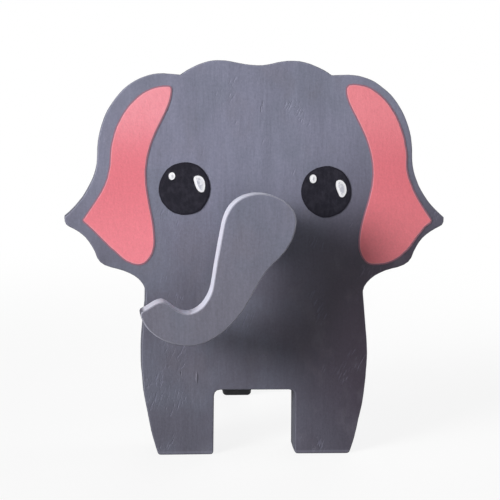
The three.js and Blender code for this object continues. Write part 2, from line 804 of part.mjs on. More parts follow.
function buildStand() {
  const upright = new THREE.Group();
  upright.rotation.x = -LEAN;
  upright.add(piece("body_panel", bodyPanel(), materials.grey));
  upright.add(piece("trunk", trunk(), materials.grey));
  upright.add(piece("nose_block", noseBlock(), materials.grey));
  dowelHeights().forEach((height, i) => {
    upright.add(piece(`nose_dowel_${["lower", "upper"][i]}`, dowel(height), materials.bareWood));
  });
  upright.add(buildFace());
  plateScrewPlaces().forEach((place, i) => {
    upright.add(piece(`hinge_screw_${["left", "right"][i]}`, plateScrew(place), materials.steel));
  });

  const hinge = new THREE.Group();
  hinge.position.set(HINGE_X, PIVOT_Y, PIVOT_HEIGHT);
  hinge.add(piece("hinge_plate", hingePlate(), materials.steel));
  hinge.add(piece("hinge_pin", hingePin(), materials.steel));
  const swing = buildStrut();
  swing.rotation.x = SPREAD;
  hinge.add(swing);
  upright.add(hinge);
  return upright;
}

// The origin is the middle of the stand's footprint box, on the floor
const group = new THREE.Group();
const stand = buildStand();
group.add(stand);
const bounds = new THREE.Box3().setFromObject(group, true);
stand.position.set(-(bounds.min.x + bounds.max.x) / 2, -(bounds.min.y + bounds.max.y) / 2, 0);

export default group;
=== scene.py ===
# Elephant-shaped eyeglasses stand: a sawn, hand-painted wooden board on two feet and a hinged strut.
import math

import bpy
from mathutils import Euler, Matrix, Vector, noise


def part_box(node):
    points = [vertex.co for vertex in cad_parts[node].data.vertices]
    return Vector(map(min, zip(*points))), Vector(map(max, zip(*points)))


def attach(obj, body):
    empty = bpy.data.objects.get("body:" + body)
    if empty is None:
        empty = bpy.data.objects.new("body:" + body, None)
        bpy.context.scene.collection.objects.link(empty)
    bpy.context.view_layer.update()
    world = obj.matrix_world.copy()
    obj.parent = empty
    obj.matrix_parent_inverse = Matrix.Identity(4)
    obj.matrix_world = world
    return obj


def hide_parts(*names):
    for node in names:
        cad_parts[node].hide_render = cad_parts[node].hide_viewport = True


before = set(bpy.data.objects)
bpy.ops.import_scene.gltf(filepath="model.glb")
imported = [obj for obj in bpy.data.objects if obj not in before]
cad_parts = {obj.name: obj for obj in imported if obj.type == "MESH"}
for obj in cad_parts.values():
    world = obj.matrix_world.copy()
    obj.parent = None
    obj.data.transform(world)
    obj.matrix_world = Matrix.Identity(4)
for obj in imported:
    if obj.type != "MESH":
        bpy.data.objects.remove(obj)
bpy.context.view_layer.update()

MM = 0.001
LEAN = math.radians(9)
WOOD_EDGE_RADIUS = 0.4 * MM
FRONT_FOOT_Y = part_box("body_panel")[0].y - WOOD_EDGE_RADIUS * math.sin(LEAN)

# Directions of the leaning board: across it, up along it, and out of its painted face
ACROSS = Vector((1, 0, 0))
UP_BOARD = Vector((0, math.sin(LEAN), math.cos(LEAN)))
OUT = Vector((0, -math.cos(LEAN), math.sin(LEAN)))


def on_board(u, v, w=0.0):
    """The place u across, v up and w out of the board's painted face, all in millimetres."""
    return Vector((0, FRONT_FOOT_Y, 0)) + (u * ACROSS + v * UP_BOARD + w * OUT) * MM


def board_space(place):
    """A place across, out of and up the board, as the upright coordinates of board_place give it."""
    x, out, up = place
    return tuple(Euler((LEAN, 0, 0)).to_matrix() @ on_board(x, up, out) / MM)


# Camera
AIM = on_board(-1.68, 62.8)
DISTANCE = 582 * MM
AZIMUTH = math.radians(-5)
ELEVATION = math.radians(12.8)
ROLL = math.radians(1.1)
LENS = 137.6
SENSOR_WIDTH = 36
CLIP_START = 10 * MM


def make_camera():
    back = Vector(
        (
            math.sin(AZIMUTH) * math.cos(ELEVATION),
            -math.cos(AZIMUTH) * math.cos(ELEVATION),
            math.sin(ELEVATION),
        )
    )
    right = (-back).cross(Vector((0, 0, 1))).normalized()
    up = right.cross(-back)
    side = right * math.cos(ROLL) + up * math.sin(ROLL)
    top = up * math.cos(ROLL) - right * math.sin(ROLL)
    data = bpy.data.cameras.new("camera")
    data.lens = LENS
    data.sensor_width = SENSOR_WIDTH
    data.clip_start = CLIP_START
    camera = bpy.data.objects.new("camera", data)
    bpy.context.scene.collection.objects.link(camera)
    turn = Matrix((side, top, back)).transposed()
    camera.matrix_world = Matrix.Translation(AIM + back * DISTANCE) @ turn.to_4x4()
    bpy.context.scene.camera = camera


# Node helpers
def colour(red, green, blue):
    """A colour written as it shows on screen, 0 to 255, turned into linear light."""

    def linear(level):
        share = level / 255
        return share / 12.92 if share <= 0.04045 else ((share + 0.055) / 1.055) ** 2.4

    return (linear(red), linear(green), linear(blue), 1.0)


def give(tree, sockets, values):
    """Joins or sets each named or numbered input socket."""
    for name, value in values.items():
        if isinstance(value, bpy.types.NodeSocket):
            tree.links.new(value, sockets[name])
        else:
            sockets[name].default_value = value


def node(tree, kind, inputs=None, **settings):
    made = tree.nodes.new(kind)
    for name, value in settings.items():
        setattr(made, name, value)
    give(tree, made.inputs, inputs or {})
    return made


def maths(tree, operation, *values):
    return node(tree, "ShaderNodeMath", dict(enumerate(values)), operation=operation).outputs[0]


def ramp(tree, value, low, high, start=0.0, end=1.0):
    """start below low, end above high, and a smooth step between."""
    inputs = {"Value": value, "From Min": low, "From Max": high, "To Min": start, "To Max": end}
    return node(tree, "ShaderNodeMapRange", inputs, interpolation_type="SMOOTHSTEP").outputs[0]


def fall(tree, value, low, high):
    """One below low, zero above high, and a smooth step between."""
    return ramp(tree, value, low, high, 1.0, 0.0)


def band(tree, value, rises, falls):
    """Zero, then up to one over the first range, then down to zero over the second."""
    return maths(tree, "MULTIPLY", ramp(tree, value, *rises), fall(tree, value, *falls))


def mixed(tree, share, first, second, way="MIX"):
    inputs = {0: share, 6: first, 7: second}
    return node(tree, "ShaderNodeMix", inputs, data_type="RGBA", blend_type=way).outputs[2]


def partly(tree, mask, share, first, second):
    """The first colour, with the second one over it by the mask times the share."""
    return mixed(tree, maths(tree, "MULTIPLY", mask, share), first, second)


def around_one(tree, value, spread):
    """A value from 0 to 1 turned into a factor that lies within half the spread of 1."""
    return maths(tree, "MULTIPLY_ADD", value, spread, 1.0 - spread / 2)


def shaded(tree, tone, light):
    """The colour made lighter or darker by a factor."""
    shade = node(tree, "ShaderNodeCombineColor", {0: light, 1: light, 2: light}).outputs[0]
    return mixed(tree, 1.0, tone, shade, "MULTIPLY")


def fractal(tree, place, scale, detail=3.0, roughness=0.55):
    inputs = {"Vector": place, "Scale": scale, "Detail": detail, "Roughness": roughness}
    return node(tree, "ShaderNodeTexNoise", inputs).outputs["Fac"]


def board_place(tree, scale=(1, 1, 1)):
    """Object coordinates in millimetres, turned upright with the board, then scaled."""
    place = node(tree, "ShaderNodeTexCoord").outputs["Object"]
    inputs = {"Vector": place, "Rotation": (LEAN, 0, 0), "Scale": (1 / MM, 1 / MM, 1 / MM)}
    turned = node(tree, "ShaderNodeMapping", inputs).outputs[0]
    if scale == (1, 1, 1):
        return turned
    return node(tree, "ShaderNodeMapping", {"Vector": turned, "Scale": scale}).outputs[0]


def axes(tree, place):
    """The place's three numbers: across the board, into it and up it."""
    return node(tree, "ShaderNodeSeparateXYZ", {0: place}).outputs


def facing(tree, direction):
    """How squarely the surface faces the direction, from -1 to 1."""
    normal = node(tree, "ShaderNodeTexCoord").outputs["Normal"]
    inputs = {0: normal, 1: tuple(direction)}
    return node(tree, "ShaderNodeVectorMath", inputs, operation="DOT_PRODUCT").outputs["Value"]


def bent_place(tree, place, scale, detail, reach, start):
    """The start, shifted smoothly from place to place by up to about the reach."""
    inputs = {"Vector": place, "Scale": scale, "Detail": detail}
    wander = node(tree, "ShaderNodeTexNoise", inputs).outputs["Color"]
    inputs = {0: wander, 1: reach, 2: start}
    return node(tree, "ShaderNodeVectorMath", inputs, operation="MULTIPLY_ADD").outputs[0]


def new_group(name, inputs, outputs):
    """An empty node group; each input is a name, kind and value, and each output a name and kind."""
    group = bpy.data.node_groups.new(name, "ShaderNodeTree")
    for label, kind, value in inputs:
        socket = group.interface.new_socket(name=label, in_out="INPUT", socket_type=kind)
        if value is not None:
            socket.default_value = value
    for label, kind in outputs:
        group.interface.new_socket(name=label, in_out="OUTPUT", socket_type=kind)
    entry = group.nodes.new("NodeGroupInput")
    leave = group.nodes.new("NodeGroupOutput")
    return group, entry.outputs, leave.inputs


def use(tree, group, **inputs):
    """Places a node group, with underscores in the input names for spaces."""
    made = tree.nodes.new("ShaderNodeGroup")
    made.node_tree = group
    give(tree, made.inputs, {name.replace("_", " "): value for name, value in inputs.items()})
    return made.outputs


FLOAT = "NodeSocketFloat"
VECTOR = "NodeSocketVector"


# Shared effects
def brush_group():
    """Strokes of a flat brush drawn along Z: fine bristle lines inside broader passes."""
    group, given, result = new_group(
        "brush strokes",
        [("Place", VECTOR, None), ("Bristle", FLOAT, 2.2), ("Pass", FLOAT, 0.35), ("Length", FLOAT, 14.0)],
        [("Bristles", FLOAT), ("Passes", FLOAT)],
    )
    shorten = maths(group, "DIVIDE", 1.0, given["Length"])
    stretch = node(group, "ShaderNodeCombineXYZ", {0: 1.0, 1: 1.0, 2: shorten}).outputs[0]
    inputs = {0: given["Place"], 1: stretch}
    drawn = node(group, "ShaderNodeVectorMath", inputs, operation="MULTIPLY").outputs[0]
    bent = bent_place(group, given["Place"], scale=0.05, detail=2.0, reach=(1.6, 1.6, 0.4), start=drawn)
    group.links.new(fractal(group, bent, given["Bristle"], 4.0, 0.6), result["Bristles"])
    group.links.new(fractal(group, bent, given["Pass"], 2.0, 0.5), result["Passes"])
    return group


def scratch_group():
    """Thin hairline scratches along a slanting direction, present only in patches."""
    group, given, result = new_group(
        "hairline scratches",
        [("Place", VECTOR, None), ("Slant", FLOAT, 0.4), ("Fineness", FLOAT, 1.6), ("Cover", FLOAT, 0.5)],
        [("Mask", FLOAT)],
    )
    turn = node(group, "ShaderNodeCombineXYZ", {1: given["Slant"]}).outputs[0]
    bent = bent_place(
        group, given["Place"], scale=0.035, detail=1.0, reach=(5.0, 5.0, 5.0), start=given["Place"]
    )
    inputs = {"Vector": bent, "Rotation": turn, "Scale": (1.0, 1.0, 8.0)}
    slanted = node(group, "ShaderNodeMapping", inputs, vector_type="TEXTURE").outputs[0]
    line = ramp(group, fractal(group, slanted, given["Fineness"], 2.0, 0.5), 0.56, 0.66)
    patches = fractal(group, given["Place"], 0.11, 2.0, 0.5)
    there = ramp(group, patches, given["Cover"], maths(group, "ADD", given["Cover"], 0.08))
    group.links.new(maths(group, "MULTIPLY", line, there), result["Mask"])
    return group


def wear_and_highlight_group():
    """Edges paler from rubbing, with a painted highlight: the given mask of turned surface, broken up by
    noise.
    """
    group, given, result = new_group(
        "edge wear and highlight",
        [("Place", VECTOR, None), ("Turned", FLOAT, 0.0), ("Scale", FLOAT, 0.5), ("Amount", FLOAT, 0.5)],
        [("Mask", FLOAT)],
    )
    rub = fractal(group, given["Place"], given["Scale"], 4.0, 0.6)
    limit = maths(group, "SUBTRACT", 1.0, given["Amount"])
    held = ramp(group, rub, maths(group, "MULTIPLY", limit, 0.7), maths(group, "ADD", limit, 0.12))
    group.links.new(maths(group, "MULTIPLY", given["Turned"], held), result["Mask"])
    return group


def oval_group():
    """One oval patch or dent: 1 round its centre, falling to 0 at the given half sizes."""
    group, given, result = new_group(
        "oval patch",
        [("Place", VECTOR, None), ("Centre", VECTOR, None), ("Half size", VECTOR, None)],
        [("Depth", FLOAT)],
    )
    inputs = {0: given["Place"], 1: given["Centre"]}
    away = node(group, "ShaderNodeVectorMath", inputs, operation="SUBTRACT").outputs[0]
    inputs = {0: away, 1: given["Half size"]}
    share = node(group, "ShaderNodeVectorMath", inputs, operation="DIVIDE").outputs[0]
    length = node(group, "ShaderNodeVectorMath", {0: share}, operation="LENGTH").outputs["Value"]
    group.links.new(fall(group, length, 0.2, 1.0), result["Depth"])
    return group


BRUSH = brush_group()
SCRATCHES = scratch_group()
WEAR_AND_HIGHLIGHT = wear_and_highlight_group()
OVAL = oval_group()


def oval(tree, place, centre, half_size):
    """An oval patch, its centre given across, out of and up the board, in millimetres."""
    return use(tree, OVAL, Place=place, Centre=board_space(centre), Half_size=half_size)["Depth"]


# Materials
def new_material(name, specular=0.5):
    made = bpy.data.materials.new(name)
    made.use_nodes = True
    shader = made.node_tree.nodes["Principled BSDF"]
    shader.inputs["Specular IOR Level"].default_value = specular
    return made, made.node_tree, shader


def dress(tree, shader, tone, rough, relief, depth):
    """Joins a colour, a roughness and a relief, of the given depth in millimetres, to the shader."""
    normal = node(tree, "ShaderNodeBump", {"Height": relief, "Distance": depth * MM}).outputs[0]
    give(tree, shader.inputs, {"Base Color": tone, "Roughness": rough, "Normal": normal})


# Tones of the grey paint
COOL_GREY = colour(133, 134, 154)
CLOUDED_GREY = colour(118, 122, 138)
WARM_GREY = colour(124, 120, 132)
# Painted shadow: the tone of the front's lower right, beside and below the trunk
PAINTED_SHADOW_GREY = colour(66, 58, 71)
SCRATCHED_GREY = colour(150, 150, 178)
# Paler tones from rubbing, with a painted highlight: the rounded edges and the band above the soles
RUBBED_AND_HIGHLIGHT_GREY = colour(176, 176, 190)
SOLE_RUB_AND_HIGHLIGHT_GREY = colour(150, 150, 166)

# Patches of the board: a centre across, out of and up the board, and half sizes, in millimetres
# Painted shadow over the front's lower right, where the trunk's shadow falls
PAINTED_SHADOW_LOWER_RIGHT = ((44, 0, 34), (54.0, 60.0, 76.0))
SCRATCHED_LEFT_LEG = ((-25, 0, 22), (17.0, 9.0, 20.0))

# Beads and dents in the grey paint: patches as above, each with a rise in shares of the paint's relief
MARKS = (
    ((-17.7, 0, 23.7), (0.45, 2.5, 2.2), 1.5),
    ((1.9, 0, 107.2), (0.22, 2.5, 1.2), -1.6),
    ((1.5, 0, 105.6), (0.22, 2.5, 1.2), -1.6),
    ((-22.6, 0, 25.2), (0.25, 2.5, 0.9), -1.1),
)

# Heights of the upright coordinates between which the grey turns from its low tone, darker as painted shade
# for light falling off towards the feet, to its upper one
LOW_SHADE_FADES = (40.0, 90.0)
# Across the board, the end of the trunk's tip, which keeps the darker edge of painted shade, and the start of
# the pale one, pale paint with a painted highlight
PALE_EDGE_STARTS = (-35.4, -34.2)
# Heights above the soles over which the paler band, from rubbing with a painted highlight, starts and ends
SOLE_BAND = ((0.3, 0.7), (0.8, 1.4))

# Painted shade: how fully the side faces take the dark edge tone
SIDE_SHADE_COVER = 0.9
SOLE_BAND_SHARE = 0.3
SCRATCH_SHARE = 0.16
SCRATCH_DEPTH = 0.42
GREY_RELIEF = 0.12
SIDE_ROUGHNESS = 0.66
FACE_ROUGHNESS = 0.36


def grey_faces(tree, place, low, strokes, speckle):
    """The grey of the faces: darker low down as painted shade, clouded, with a painted shadow over the
    front's lower right, and brushed.
    """
    tone = mixed(tree, fall(tree, axes(tree, place)[2], *LOW_SHADE_FADES), COOL_GREY, low)
    cloud = fractal(tree, place, 0.05)
    tone = mixed(tree, ramp(tree, cloud, 0.42, 0.66, end=0.5), tone, CLOUDED_GREY)
    # Painted shadow: the lower right darkened, on the front face only
    in_front = ramp(tree, facing(tree, OUT), 0.3, 0.8)
    tone = partly(tree, oval(tree, place, *PAINTED_SHADOW_LOWER_RIGHT), in_front, tone, PAINTED_SHADOW_GREY)
    warm = fractal(tree, board_place(tree, (1.0, 1.0, 0.7)), 0.085, roughness=0.6)
    tone = mixed(tree, ramp(tree, warm, 0.5, 0.72, end=0.3), tone, WARM_GREY)
    light = around_one(tree, strokes["Bristles"], 0.3)
    light = maths(tree, "MULTIPLY", light, around_one(tree, strokes["Passes"], 0.3))
    light = maths(tree, "MULTIPLY", light, around_one(tree, speckle, 0.5))
    return shaded(tree, tone, light)


def grey_edges(tree, place, tone, flat, edge, edge_starts, pale):
    """The tone, with the side faces in the edge tone, which is painted shade, or in the pale one, pale paint
    with a painted highlight, but for the trunk's tip, whose end keeps the painted shade.
    """
    if pale:
        # The pale edge: pale paint with a painted highlight where the sides catch the light
        edge = mixed(tree, ramp(tree, axes(tree, place)[0], *PALE_EDGE_STARTS), edge, pale)
    # Painted shade: the side faces darkened to the edge tone
    return partly(tree, fall(tree, flat, edge_starts - 0.35, edge_starts), SIDE_SHADE_COVER, tone, edge)


def grey_wear(tree, place, tone, flat, edge_starts, rub_and_highlight_amount, rub_and_highlight_share):
    """The tone, with the rounded edges and a band just above the soles paler, from rubbing and a painted
    highlight.
    """
    turned = band(tree, flat, (edge_starts - 0.1, edge_starts + 0.07), (0.975, 0.9995))
    rubbed_and_highlit = use(tree, WEAR_AND_HIGHLIGHT, Place=place, Turned=turned, Scale=0.35, Amount=rub_and_highlight_amount)["Mask"]
    tone = partly(tree, rubbed_and_highlit, rub_and_highlight_share, tone, RUBBED_AND_HIGHLIGHT_GREY)
    above_soles = maths(tree, "SUBTRACT", axes(tree, place)[2], board_space((0, 0, 0))[2])
    return partly(tree, band(tree, above_soles, *SOLE_BAND), SOLE_BAND_SHARE, tone, SOLE_RUB_AND_HIGHLIGHT_GREY)


def grey_paint(name, low, edge, edge_starts, rub_and_highlight_amount, rub_and_highlight_share, unscratched, pale=None):
    """Grey paint brushed on, with its darker tone low down as painted shade, its edge tone as painted shade
    on the side faces, how far its rounded edges turn paler from rubbing and a painted highlight, and how
    unscratched it is.

    edge_starts is how squarely a surface faces out of the board where the edge tone starts.
    """
    made, tree, shader = new_material(name, specular=0.35)
    place = board_place(tree)
    strokes = use(tree, BRUSH, Place=place, Bristle=1.3, Pass=0.25, Length=7.0)
    speckle = fractal(tree, place, 1.3, 4.0, 0.65)
    cover = maths(tree, "MULTIPLY_ADD", oval(tree, place, *SCRATCHED_LEFT_LEG), -0.2, unscratched)
    scratch = use(tree, SCRATCHES, Place=place, Slant=0.4, Fineness=1.9, Cover=cover)["Mask"]
    flat = maths(tree, "ABSOLUTE", facing(tree, OUT))

    tone = grey_faces(tree, place, low, strokes, speckle)
    tone = partly(tree, scratch, SCRATCH_SHARE, tone, SCRATCHED_GREY)
    tone = grey_edges(tree, place, tone, flat, edge, edge_starts, pale)
    tone = grey_wear(tree, place, tone, flat, edge_starts, rub_and_highlight_amount, rub_and_highlight_share)

    dull = ramp(tree, flat, 0.75, 0.995, SIDE_ROUGHNESS, FACE_ROUGHNESS)
    rough = maths(tree, "MULTIPLY_ADD", strokes["Bristles"], 0.22, dull)
    relief = maths(tree, "MULTIPLY", strokes["Passes"], 0.5)
    relief = maths(tree, "MULTIPLY_ADD", strokes["Bristles"], 0.5, relief)
    relief = maths(tree, "MULTIPLY_ADD", speckle, 0.35, relief)
    relief = maths(tree, "SUBTRACT", relief, maths(tree, "MULTIPLY", scratch, SCRATCH_DEPTH))
    for centre, half_size, rise in MARKS:
        relief = maths(tree, "MULTIPLY_ADD", oval(tree, place, centre, half_size), rise, relief)
    dress(tree, shader, tone, rough, relief, GREY_RELIEF)
    return made


# Heights of the upright coordinates where a film's top tone starts
TOP_TONE_STARTS = (80.0, 100.0)
# Heights over which a painted shadow band darkens the film, and fades again
SHADOW_BAND = ((56.0, 82.0), (84.0, 104.0))
SHADOW_BAND_SHARE = 0.6
# Places across the board where the right-hand fields start
RIGHT_FIELD_STARTS = (-5.0, 5.0)
RIGHT_SHARE = 0.65
FILM_RELIEF = 0.06


def film_paint(name, top, low, shadow_band_tone, right, deep, rim_tone, line, line_share, mottle, streaks, gloss, level):
    """Paint brushed on, with a top tone above and a low tone below, and a painted shadow band where they
    meet.

    right tints the right-hand field, deep shows in mottles and streaks, rim_tone and then a narrow line
    follow the edge, gloss is the lowest roughness, and level is the strength of the reflections.
    """
    made, tree, shader = new_material(name, specular=level)
    place = board_place(tree)
    strokes = use(tree, BRUSH, Place=place, Bristle=1.1, Pass=0.22, Length=4.0)
    across, _, height = axes(tree, place)
    tone = mixed(tree, ramp(tree, height, *TOP_TONE_STARTS), low, top)
    tone = mixed(tree, ramp(tree, across, *RIGHT_FIELD_STARTS, end=RIGHT_SHARE), tone, right)
    # Painted shadow: a darker band across the middle of the film
    tone = partly(tree, band(tree, height, *SHADOW_BAND), SHADOW_BAND_SHARE, tone, shadow_band_tone)
    cloud = fractal(tree, place, 0.42, 4.0, 0.62)
    tone = mixed(tree, ramp(tree, cloud, 0.42, 0.68, end=mottle), tone, deep)
    tone = mixed(tree, ramp(tree, strokes["Bristles"], 0.4, 0.7, end=streaks), tone, deep)
    speckle = fractal(tree, place, 1.5, 3.0, 0.65)
    tone = shaded(tree, tone, around_one(tree, speckle, 0.24))
    rim = node(tree, "ShaderNodeAttribute", attribute_name="rim").outputs["Fac"]
    ragged = maths(tree, "ADD", rim, maths(tree, "MULTIPLY_ADD", fractal(tree, place, 1.2), 0.8, -0.4))
    tone = mixed(tree, ramp(tree, ragged, 0.3, 0.75, end=0.85), tone, rim_tone)
    tone = mixed(tree, ramp(tree, rim, 0.78, 0.95, end=line_share), tone, line)
    rough = maths(tree, "MULTIPLY_ADD", strokes["Bristles"], 0.25, gloss)
    dress(tree, shader, tone, rough, maths(tree, "ADD", strokes["Bristles"], speckle), FILM_RELIEF)
    return made


def glint_paint():
    """White dabs, thinly laid and greyish in their middle where the brush was turned."""
    made, tree, shader = new_material("white dabs")
    place = board_place(tree)
    rim = node(tree, "ShaderNodeAttribute", attribute_name="rim").outputs["Fac"]
    swirl = fractal(tree, place, 1.15, 3.0, 0.6)
    middle = maths(tree, "MULTIPLY", fall(tree, rim, 0.0, 0.5), ramp(tree, swirl, 0.34, 0.6, 0.25, 1.0))
    tone = partly(tree, middle, 0.95, colour(252, 252, 255), colour(200, 201, 212))
    dress(tree, shader, tone, maths(tree, "MULTIPLY_ADD", swirl, 0.3, 0.35), swirl, 0.03)
    return made


def wood(name, pale, dark, gloss, level, grain, relief):
    """Long grain along Z with fine pores; gloss is the lowest roughness, relief is in millimetres."""
    made, tree, shader = new_material(name, specular=level)
    place = board_place(tree)
    strokes = use(tree, BRUSH, Place=place, Bristle=grain * 2.5, Pass=grain, Length=22.0)
    tone = mixed(tree, ramp(tree, strokes["Passes"], 0.35, 0.65), pale, dark)
    tone = partly(tree, ramp(tree, strokes["Bristles"], 0.55, 0.68), 0.55, tone, dark)
    rough = maths(tree, "MULTIPLY_ADD", strokes["Bristles"], 0.25, gloss)
    dress(tree, shader, tone, rough, strokes["Bristles"], relief)
    return made


# How far behind the painted face the painted shade on the screws reaches: over the slots' floors and the
# heads' bases
SCREW_HOLLOW = 13.72
HAZE_TONE = colour(112, 110, 108)
SLOT_SHADE_TONE = colour(34, 32, 31)


def steel(name, dull, bright, hollow=None):
    """Drawn and plated steel, with painted shade where the surface lies less than hollow behind the face."""
    made, tree, shader = new_material(name)
    place = board_place(tree)
    drawn = fractal(tree, board_place(tree, (0.3, 1.6, 1.6)), 1.6, 4.0, 0.65)
    haze = fractal(tree, place, 0.35, 3.0, 0.6)
    tone = mixed(tree, ramp(tree, drawn, 0.3, 0.7), dull, bright)
    tone = mixed(tree, ramp(tree, haze, 0.45, 0.75, end=0.6), tone, HAZE_TONE)
    rough = maths(tree, "MULTIPLY_ADD", drawn, 0.25, maths(tree, "MULTIPLY_ADD", haze, 0.25, 0.2))
    if hollow is not None:
        edge = board_space((0, -hollow, 0))[1]
        # Painted shade in the screws' slots and round the heads' bases
        slot_shade = ramp(tree, axes(tree, place)[1], edge - 0.12, edge + 0.02, 0.85, 0.0)
        tone = mixed(tree, slot_shade, tone, SLOT_SHADE_TONE)
        rough = maths(tree, "MULTIPLY_ADD", slot_shade, 0.3, rough)
    shader.inputs["Metallic"].default_value = 1.0
    dress(tree, shader, tone, rough, drawn, 0.02)
    return made


def rubber():
    made, tree, shader = new_material("black rubber", specular=0.3)
    place = board_place(tree)
    grain = fractal(tree, place, 3.0, 5.0, 0.65)
    dust = fractal(tree, place, 0.5, 3.0, 0.6)
    tone = mixed(tree, ramp(tree, dust, 0.45, 0.75, end=0.7), colour(24, 24, 27), colour(48, 47, 50))
    dress(tree, shader, tone, maths(tree, "MULTIPLY_ADD", grain, 0.25, 0.6), grain, 0.05)
    return made


# Modelling helpers
MERGE_DISTANCE = 0.001 * MM
FLAT_ANGLE = math.radians(0.5)


def only(piece):
    """Leaves this piece alone selected and active, in object mode."""
    if bpy.context.object and bpy.context.object.mode != "OBJECT":
        bpy.ops.object.mode_set(mode="OBJECT")
    bpy.ops.object.select_all(action="DESELECT")
    piece.select_set(True)
    bpy.context.view_layer.objects.active = piece


def copy_of(name, cad_node):
    """A new piece from a CAD node's mesh, with its loose triangles merged and its flats made whole."""
    piece = bpy.data.objects.new(name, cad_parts[cad_node].data.copy())
    bpy.context.scene.collection.objects.link(piece)
    piece.data.materials.clear()
    only(piece)
    bpy.ops.object.mode_set(mode="EDIT")
    bpy.ops.mesh.select_mode(type="FACE")
    bpy.ops.mesh.select_all(action="SELECT")
    bpy.ops.mesh.remove_doubles(threshold=MERGE_DISTANCE)
    bpy.ops.mesh.dissolve_limited(angle_limit=FLAT_ANGLE)
    bpy.ops.mesh.select_all(action="DESELECT")
    bpy.ops.object.mode_set(mode="OBJECT")
    if piece.data.has_custom_normals:
        bpy.ops.mesh.customdata_custom_splitnormals_clear()
    return piece


def apply_modifier(piece, kind, **settings):
    only(piece)
    added = piece.modifiers.new(kind.lower(), kind)
    for name, value in settings.items():
        setattr(added, name, value)
    bpy.ops.object.modifier_apply(modifier=added.name)


def even_shading(piece, keep_sharp):
    """Turns the normals towards those of the largest faces, so that flats shade as flats."""
    apply_modifier(piece, "WEIGHTED_NORMAL", mode="FACE_AREA", weight=50, keep_sharp=keep_sharp)


def pick_faces(piece, wanted):
    """Enters edit mode with just the faces picked whose normal is wanted."""
    only(piece)
    bpy.ops.object.mode_set(mode="EDIT")
    bpy.ops.mesh.select_mode(type="FACE")
    bpy.ops.mesh.select_all(action="DESELECT")
    bpy.ops.object.mode_set(mode="OBJECT")
    for face in piece.data.polygons:
        face.select = wanted(face.normal)
    bpy.ops.object.mode_set(mode="EDIT")


def finish_piece(piece, cad_nodes, material, body):
    piece.data.materials.append(material)
    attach(piece, body)
    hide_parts(*cad_nodes)
    return piece


def height_out(place):
    """How far a place lies out of the board's painted face, in millimetres."""
    return (place - on_board(0, 0)).dot(OUT) / MM


def on_face(place):
    """The place moved straight in or out to the painted face, so that a wobble runs through the wood."""
    return place - OUT * height_out(place) * MM


def wobble(spot, coarse, fine, fine_share, offset=Vector((0, 0, 0))):
    """A smooth wander of about -1 to 1, from coarse and fine waves per metre."""
    return noise.noise(spot * coarse + offset) + fine_share * noise.noise(spot * fine + offset)


# Sawn wood: the outline wanders a little, as a hand-held fretsaw and sandpaper leave it
SAW_WAVES = (150, 420, 0.5)
OTHER_WAY = Vector((7, 0, 3))


def sawn(name, cad_node, material, wander):
    """A wooden piece whose outline wanders by about so many millimetres inside its CAD box."""
    piece = copy_of(name, cad_node)
    low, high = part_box(cad_node)
    for corner in piece.data.vertices:
        spot = on_face(corner.co)
        shift = ACROSS * wobble(spot, *SAW_WAVES) + UP_BOARD * wobble(spot, *SAW_WAVES, OTHER_WAY)
        place = corner.co + shift * wander * MM
        corner.co = Vector([min(max(at, first), last) for at, first, last in zip(place, low, high)])
    only(piece)
    bpy.ops.object.shade_smooth()
    even_shading(piece, keep_sharp=False)
    return finish_piece(piece, [cad_node], material, "stand")


# Paint films: edges wander a little and round over, and a rim attribute fades inwards from the edge
BRUSHED_WAVES = (260, 700, 0.6)
# Rings: insets in millimetres, each with the rim's value at its inner end
PINK_RINGS = ((0.16, 0.8), (0.22, 0.5), (0.3, 0.0))
PUPIL_RINGS = ((0.3, 0.5), (0.5, 0.0))
SMALL_DAB_RINGS = ((0.3, 0.7), (0.3, 0.45), (0.25, 0.0))
LARGE_DAB_RINGS = ((0.25, 0.7), (0.3, 0.45), (0.25, 0.0))
FILM_BACK = 0.05
FILM_SMOOTH = math.radians(60)


def film(name, cad_node, material, rings, wander, drop, shrink=0.0):
    """A brushed film; wander and shrink move its edge, drop lowers its front there, in millimetres."""
    piece = copy_of(name, cad_node)
    low_out = min(height_out(corner.co) for corner in piece.data.vertices)
    centre = sum((corner.co for corner in piece.data.vertices), Vector()) / len(piece.data.vertices)
    for corner in piece.data.vertices:
        spot = on_face(corner.co)
        along = spot - centre
        along -= OUT * along.dot(OUT)
        corner.co += along.normalized() * (wobble(spot, *BRUSHED_WAVES) * wander - shrink) * MM
    rim = {}
    inward = []
    pick_faces(piece, lambda normal: normal.dot(OUT) > 0.9)
    for thickness, _ in rings:
        bpy.ops.mesh.inset(thickness=thickness * MM, use_even_offset=False)
        bpy.ops.object.mode_set(mode="OBJECT")
        inward.append({i for face in piece.data.polygons if face.select for i in face.vertices})
        bpy.ops.object.mode_set(mode="EDIT")
    bpy.ops.object.mode_set(mode="OBJECT")
    for corners, (_, value) in zip(inward, rings):
        rim.update(dict.fromkeys(corners, value))
    attribute = piece.data.attributes.new("rim", "FLOAT", "POINT")
    for i, corner in enumerate(piece.data.vertices):
        value = rim.get(i, 1.0)
        attribute.data[i].value = value
        if height_out(corner.co) > low_out + FILM_BACK:
            corner.co -= OUT * drop * value * value * MM
    only(piece)
    bpy.ops.object.shade_smooth_by_angle(angle=FILM_SMOOTH)
    even_shading(piece, keep_sharp=True)
    return finish_piece(piece, [cad_node], material, "stand")


# Hardware and the strut: the CAD form with its edges broken
BROKEN_SEGMENTS = 3
BROKEN_ANGLE = math.radians(40)
BROKEN_SMOOTH = math.radians(35)


